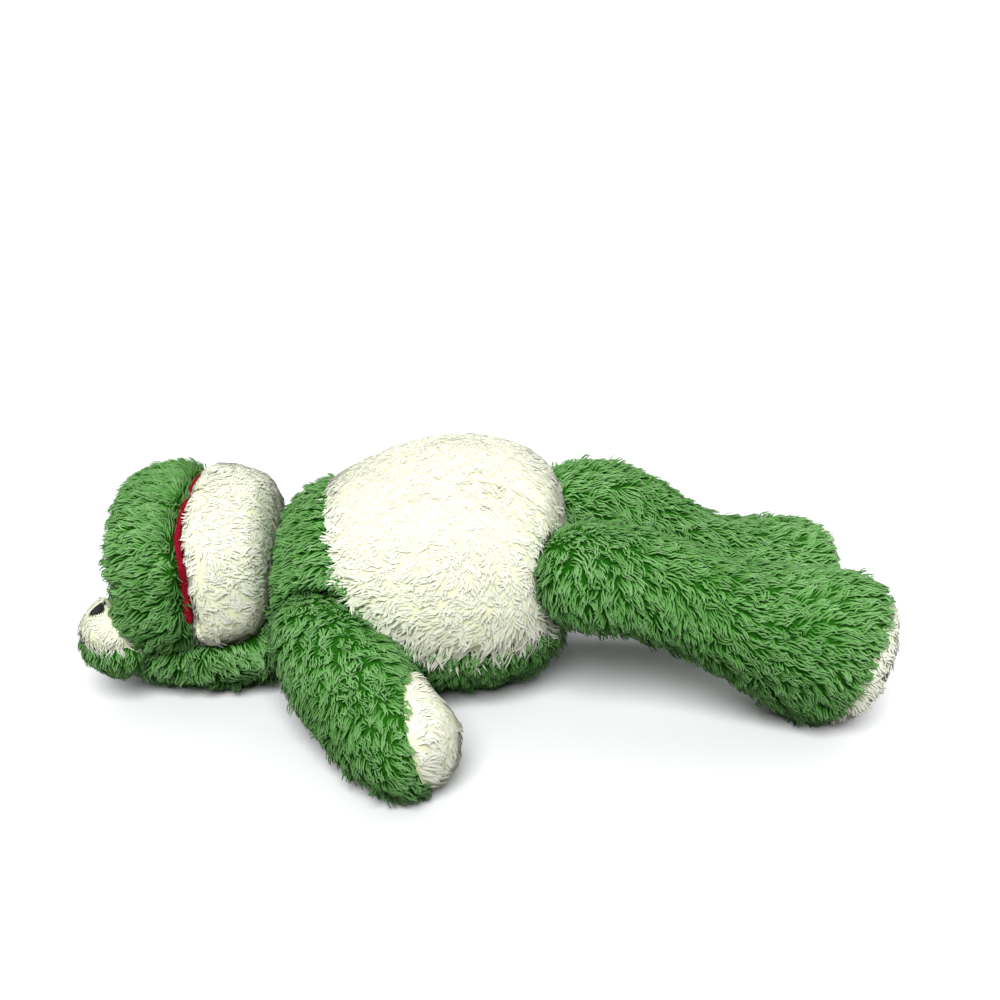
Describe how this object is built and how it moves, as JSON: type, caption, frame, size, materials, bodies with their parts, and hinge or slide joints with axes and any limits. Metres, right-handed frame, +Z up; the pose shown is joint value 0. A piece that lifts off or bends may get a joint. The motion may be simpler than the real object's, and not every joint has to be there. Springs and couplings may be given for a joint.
{
  "type": "plush frog",
  "caption": "Long-pile plush frog lying on its back with a cream belly, a wide sewn mouth and bulging eyes; its head turns and its limbs swing.",
  "frame": {"origin": "on the flattened patch under the middle of the torso, where the frog's back rests", "axes": "+X from the head to the feet, +Y to the frog's left, +Z up from its back to its belly"},
  "size_m": [0.3886, 0.283, 0.116],
  "materials": {
    "green_plush": "long pile",
    "cream_plush": "curly pile",
    "red_felt": "felt",
    "black_embroidery": "satin stitch",
    "stuffing": "loose fibre"
  },
  "bodies": {
    "torso": {"back_panel": "green_plush", "belly_panel": "cream_plush", "torso_filling": "stuffing"},
    "head": {"head_back": "green_plush", "head_filling": "stuffing", "upper_jaw": "green_plush", "upper_jaw_filling": "stuffing", "lower_jaw": "cream_plush", "lower_jaw_filling": "stuffing", "mouth_lining": "red_felt", "eye_white_left": "cream_plush", "eye_white_right": "cream_plush", "eye_hood_left": "green_plush", "eye_hood_right": "green_plush", "eye_filling_left": "stuffing", "eye_filling_right": "stuffing", "pupil_left": "black_embroidery", "pupil_right": "black_embroidery"},
    "arm_left": {"arm_left": "green_plush", "palm_left": "cream_plush", "arm_filling_left": "stuffing"},
    "arm_right": {"arm_right": "green_plush", "palm_right": "cream_plush", "arm_filling_right": "stuffing"},
    "leg_left": {"leg_left": "green_plush", "sole_left": "cream_plush", "leg_filling_left": "stuffing"},
    "leg_right": {"leg_right": "green_plush", "sole_right": "cream_plush", "leg_filling_right": "stuffing"}
  },
  "joints": [
    {"name": "neck", "type": "hinge", "parent": "torso", "child": "head", "pos_m": [-0.0718, 0, 0.046], "axis": [1, 0, 0], "range_deg": [-60, 60]},
    {"name": "shoulder_left", "type": "hinge", "parent": "torso", "child": "arm_left", "pos_m": [-0.0475, 0.055, 0.044], "axis": [0, 0, 1], "range_deg": [0, 55]},
    {"name": "shoulder_right", "type": "hinge", "parent": "torso", "child": "arm_right", "pos_m": [-0.0475, -0.055, 0.044], "axis": [0, 0, -1], "range_deg": [0, 55]},
    {"name": "hip_left", "type": "hinge", "parent": "torso", "child": "leg_left", "pos_m": [0.0835, 0.043, 0.069], "axis": [0, -1, 0], "range_deg": [-5, 70]},
    {"name": "hip_right", "type": "hinge", "parent": "torso", "child": "leg_right", "pos_m": [0.0835, -0.043, 0.069], "axis": [0, -1, 0], "range_deg": [-5, 70]}
  ]
}
